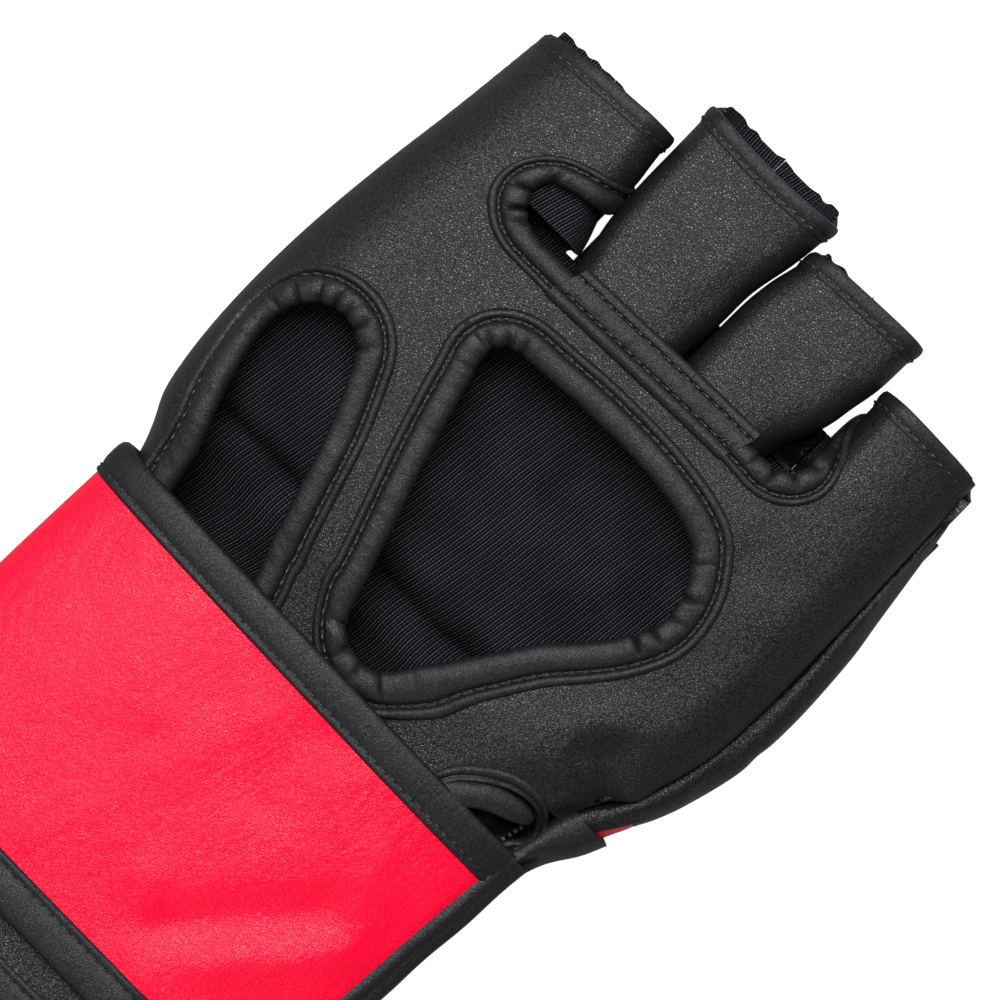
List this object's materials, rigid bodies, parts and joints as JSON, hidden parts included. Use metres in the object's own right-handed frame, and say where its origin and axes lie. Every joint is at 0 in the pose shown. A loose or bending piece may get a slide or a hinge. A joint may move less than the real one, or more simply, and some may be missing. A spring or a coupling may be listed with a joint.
{
  "type": "mixed martial arts glove",
  "caption": "Open-palm padded fighting glove with finger stalls, a keyhole palm opening and a wide hook-and-loop wrist strap.",
  "frame": {"origin": "under the middle of the outline, on the surface that the glove lies on", "axes": "+Z out of the palm, +Y towards the fingertips, +X towards the little finger"},
  "size_m": [0.1359, 0.224, 0.039],
  "materials": {
    "palm_leather": "satin",
    "cover_leather": "satin",
    "binding_leather": "satin",
    "red_leather": "satin",
    "twill_lining": "matte",
    "foam": "matte",
    "hook_tape": "matte",
    "loop_tape": "matte"
  },
  "bodies": {
    "hand": {"back_cover": "cover_leather", "back_hand_foam_pad": "foam", "back_lining": "twill_lining", "back_lower_panel": "red_leather", "cuff_end_binding": "binding_leather", "cuff_lining": "twill_lining", "finger_root_strip": "binding_leather", "heel_slit_binding": "binding_leather", "index_web_binding": "binding_leather", "keyhole_binding": "binding_leather", "knuckle_foam_pad": "foam", "loop_patch": "loop_tape", "palm_panel": "palm_leather", "pinky_side_gusset": "cover_leather", "pinky_web_binding": "binding_leather", "slit_tongue": "palm_leather", "strap_bottom_binding": "binding_leather", "strap_palm_panel": "red_leather", "strap_side_piping": "binding_leather", "strap_top_binding": "binding_leather", "thumb_opening_binding": "binding_leather", "wrist_cuff": "cover_leather"},
    "index": {"index_pad_cover": "cover_leather", "index_pad_foam": "foam", "index_stall": "palm_leather", "index_stall_lining": "twill_lining", "index_stall_web_binding": "binding_leather"},
    "middle": {"middle_pad_cover": "cover_leather", "middle_pad_foam": "foam", "middle_stall": "palm_leather", "middle_stall_lining": "twill_lining"},
    "ring": {"ring_pad_cover": "cover_leather", "ring_pad_foam": "foam", "ring_stall": "palm_leather", "ring_stall_lining": "twill_lining"},
    "pinky": {"pinky_pad_cover": "cover_leather", "pinky_pad_foam": "foam", "pinky_stall": "palm_leather", "pinky_stall_lining": "twill_lining", "pinky_stall_web_binding": "binding_leather"},
    "strap_back": {"strap_back_binding": "binding_leather", "strap_back_panel": "red_leather"},
    "strap_tip": {"hook_patch": "hook_tape", "strap_tip_binding": "binding_leather", "strap_tip_panel": "red_leather"}
  },
  "joints": [
    {"name": "index_curl", "type": "hinge", "parent": "hand", "child": "index", "pos_m": [-0.052, 0.07, 0.036], "axis": [1, 0, 0], "range_deg": [-8, 45], "stiffness_Nm_per_rad": 0.15},
    {"name": "middle_curl", "type": "hinge", "parent": "hand", "child": "middle", "pos_m": [-0.0117, 0.07, 0.036], "axis": [1, 0, 0], "range_deg": [-8, 45], "stiffness_Nm_per_rad": 0.15},
    {"name": "ring_curl", "type": "hinge", "parent": "hand", "child": "ring", "pos_m": [0.0138, 0.07, 0.036], "axis": [1, 0, 0], "range_deg": [-8, 45], "stiffness_Nm_per_rad": 0.15},
    {"name": "pinky_curl", "type": "hinge", "parent": "hand", "child": "pinky", "pos_m": [0.0485, 0.07, 0.036], "axis": [1, 0, 0], "range_deg": [-8, 45], "stiffness_Nm_per_rad": 0.15},
    {"name": "strap_peel", "type": "hinge", "parent": "hand", "child": "strap_back", "pos_m": [-0.0653, -0.057, 0.017], "axis": [0, 1, 0], "range_deg": [0, 150]},
    {"name": "strap_tip_peel", "type": "hinge", "parent": "strap_back", "child": "strap_tip", "pos_m": [0, -0.057, 0], "axis": [0, 1, 0], "range_deg": [0, 100]}
  ]
}
